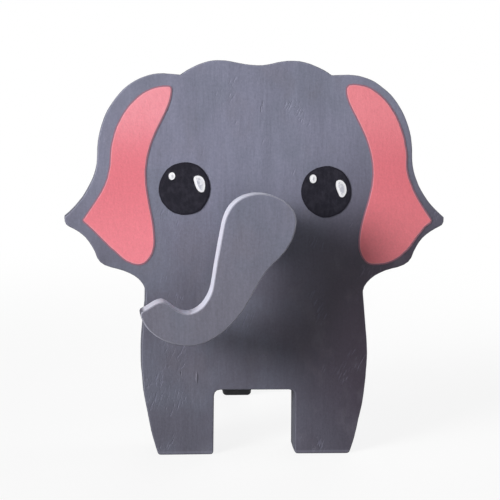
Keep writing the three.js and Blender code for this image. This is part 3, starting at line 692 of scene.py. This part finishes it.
def broken_edges(name, cad_node, material, body, slot, width):
    """A piece whose edges are rounded over so many millimetres."""
    piece = copy_of(name, cad_node)
    apply_modifier(
        piece,
        "BEVEL",
        width=width * MM,
        segments=BROKEN_SEGMENTS,
        limit_method="ANGLE",
        angle_limit=BROKEN_ANGLE,
        use_clamp_overlap=True,
    )
    only(piece)
    bpy.ops.object.shade_smooth_by_angle(angle=BROKEN_SMOOTH)
    even_shading(piece, keep_sharp=True)
    return finish_piece(piece, [cad_node], material, body)


# Studio: white world and floor, a soft grazing key from the upper left, a weak top light and two behind
WORLD_LIGHT = 0.06

# Each light's place and aim across, up and out of the board, its width and height in millimetres,
# its power in watts and its spread in degrees
LIGHTS = (
    ("key", (-436.8, 242.4, 310.8), (-5, 102, 0), (300, 300), 0.43, 46),
    ("top", (0, 245, 110), (0, 90, 0), (300, 100), 0.05, 180),
    ("behind", (150, 200, -500), (0, 50, -20), (400, 400), 2.2, 180),
    ("side", (520, 150, -130), (0, 50, -20), (340, 340), 0.34, 70),
)

# The floor's size and the distances from its middle, in metres, over which its shadow fades out
FLOOR_SIZE = 4
SHADOW_FADES = (0.08, 0.28)
LEAST_GLOW = 0.85


def seen_directly(path):
    return maths(path.id_data, "MAXIMUM", path.outputs["Is Camera Ray"], path.outputs["Is Glossy Ray"])


def make_world():
    world = bpy.data.worlds.new("studio")
    world.use_nodes = True
    bpy.context.scene.world = world
    tree = world.node_tree
    tree.nodes.clear()
    path = node(tree, "ShaderNodeLightPath")
    seen = maths(tree, "MAXIMUM", seen_directly(path), path.outputs["Is Transmission Ray"])
    soft = node(tree, "ShaderNodeBackground", {"Color": (1, 1, 1, 1), "Strength": WORLD_LIGHT})
    white = node(tree, "ShaderNodeBackground", {"Color": (1, 1, 1, 1), "Strength": 1.0})
    both = node(tree, "ShaderNodeMixShader", {0: seen, 1: soft.outputs[0], 2: white.outputs[0]})
    end = tree.nodes.new("ShaderNodeOutputWorld")
    tree.links.new(both.outputs[0], end.inputs[0])


def make_floor():
    bpy.ops.object.select_all(action="DESELECT")
    bpy.ops.mesh.primitive_plane_add(size=FLOOR_SIZE)
    floor = bpy.context.object
    floor.name = "floor"
    made, tree, shader = new_material("white table", specular=0.1)
    place = node(tree, "ShaderNodeTexCoord").outputs["Object"]
    seen = seen_directly(node(tree, "ShaderNodeLightPath"))
    shade = mixed(tree, fractal(tree, place, 3.0), colour(246, 246, 246), colour(250, 250, 250))
    tree.links.new(mixed(tree, seen, colour(120, 120, 120), shade), shader.inputs["Base Color"])
    shader.inputs["Roughness"].default_value = 0.9
    glow = node(tree, "ShaderNodeEmission", {"Color": (1, 1, 1, 1), "Strength": 1.0})
    far = node(tree, "ShaderNodeVectorMath", {0: place}, operation="LENGTH").outputs["Value"]
    share = maths(tree, "MULTIPLY", seen, ramp(tree, far, *SHADOW_FADES, LEAST_GLOW, 1.0))
    both = node(tree, "ShaderNodeMixShader", {0: share, 1: shader.outputs[0], 2: glow.outputs[0]})
    tree.links.new(both.outputs[0], tree.nodes["Material Output"].inputs["Surface"])
    floor.data.materials.append(made)


def area_light(name, place, aim, size, watts, spread):
    data = bpy.data.lights.new(name, "AREA")
    data.spread = math.radians(spread)
    data.shape = "RECTANGLE"
    data.size, data.size_y = (side * MM for side in size)
    data.energy = watts
    light = bpy.data.objects.new(name, data)
    bpy.context.scene.collection.objects.link(light)
    start = on_board(*place)
    turn = (on_board(*aim) - start).to_track_quat("-Z", "Y").to_matrix().to_4x4()
    light.matrix_world = Matrix.Translation(start) @ turn


make_camera()
make_world()
make_floor()
for light_row in LIGHTS:
    area_light(*light_row)

grey = grey_paint(
    "grey brushed paint",
    # low: painted shade, darker towards the feet; edge: painted shade on the side faces
    low=colour(104, 103, 117),
    edge=colour(72, 73, 86),
    edge_starts=0.85,
    rub_and_highlight_amount=0.6,
    rub_and_highlight_share=0.12,
    unscratched=0.6,
)
# The trunk: low and edge tones painted shade, its sawn edge pale paint with a painted highlight
grey_pale_highlit_edge = grey_paint(
    "grey brushed paint, pale edge",
    low=colour(122, 121, 135),
    edge=colour(74, 74, 86),
    edge_starts=0.5,
    rub_and_highlight_amount=0.9,
    rub_and_highlight_share=0.5,
    unscratched=0.74,
    pale=colour(214, 216, 230),
)
pink = film_paint(
    "pink brushed paint",
    top=colour(255, 162, 173),
    low=colour(255, 145, 156),
    shadow_band_tone=colour(232, 118, 130),
    right=colour(255, 142, 150),
    deep=colour(238, 130, 142),
    rim_tone=colour(246, 172, 186),
    line=colour(112, 84, 100),
    line_share=0.75,
    mottle=0.2,
    streaks=0.12,
    gloss=0.45,
    level=0.25,
)
black = film_paint(
    "black eye paint",
    top=colour(32, 31, 40),
    low=colour(33, 32, 41),
    shadow_band_tone=colour(30, 29, 38),
    right=colour(28, 27, 37),
    deep=colour(56, 54, 64),
    rim_tone=colour(34, 32, 42),
    line=colour(30, 29, 38),
    line_share=0.5,
    mottle=0.5,
    streaks=0.3,
    gloss=0.45,
    level=0.12,
)
white = glint_paint()
bare = wood(
    "bare beech",
    pale=colour(222, 190, 146),
    dark=colour(196, 158, 112),
    gloss=0.55,
    level=0.3,
    grain=0.9,
    relief=0.05,
)
ebony = wood(
    "black satin wood",
    pale=colour(30, 30, 33),
    dark=colour(42, 41, 44),
    gloss=0.32,
    level=0.35,
    grain=0.8,
    relief=0.04,
)
metal = steel("plated steel", colour(132, 135, 142), colour(184, 186, 191))
bright_metal = steel("nickelled steel", colour(128, 128, 130), colour(170, 170, 171), hollow=SCREW_HOLLOW)
shoe = rubber()

sawn("board", "body_panel", grey, wander=0.14)
sawn("trunk_plate", "trunk", grey_pale_highlit_edge, wander=0.1)
sawn("nose_rest", "nose_block", grey, wander=0.0)
for side in ("left", "right"):
    film("pink_" + side, "inner_ear_" + side, pink, PINK_RINGS, wander=0.16, drop=0.12)
    film("pupil_" + side, "eye_" + side, black, PUPIL_RINGS, wander=0.2, drop=0.1)
    dab = "glint_small_" + side
    film("dab_small_" + side, dab, white, SMALL_DAB_RINGS, wander=0.04, drop=0.1, shrink=0.12)
    dab = "glint_large_" + side
    film("dab_large_" + side, dab, white, LARGE_DAB_RINGS, wander=0.05, drop=0.1, shrink=0.16)

# Each piece with broken edges: its name, CAD node, material, body, slot and the edges' width in millimetres
HARDWARE = (
    ("hinge_leaf_fixed", "hinge_plate", metal, "stand", "steel", 0.15),
    ("hinge_pin_rod", "hinge_pin", metal, "stand", "steel", 0.1),
    ("screw_left", "hinge_screw_left", bright_metal, "stand", "steel", 0.1),
    ("screw_right", "hinge_screw_right", bright_metal, "stand", "steel", 0.1),
    ("strut_board", "strut", ebony, "prop", "black_wood", 0.35),
    ("strut_shoe", "strut_tip", shoe, "prop", "rubber", 0.25),
    ("hinge_leaf_moving", "strut_leaf", metal, "prop", "steel", 0.15),
    ("rivet_upper", "strut_rivet_upper", metal, "prop", "steel", 0.1),
    ("rivet_lower", "strut_rivet_lower", metal, "prop", "steel", 0.1),
)
for hardware_row in HARDWARE:
    broken_edges(*hardware_row)

for name in ("nose_dowel_lower", "nose_dowel_upper"):
    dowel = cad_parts[name]
    dowel.data.materials.clear()
    dowel.data.materials.append(bare)

bpy.context.scene.view_settings.view_transform = "Standard"
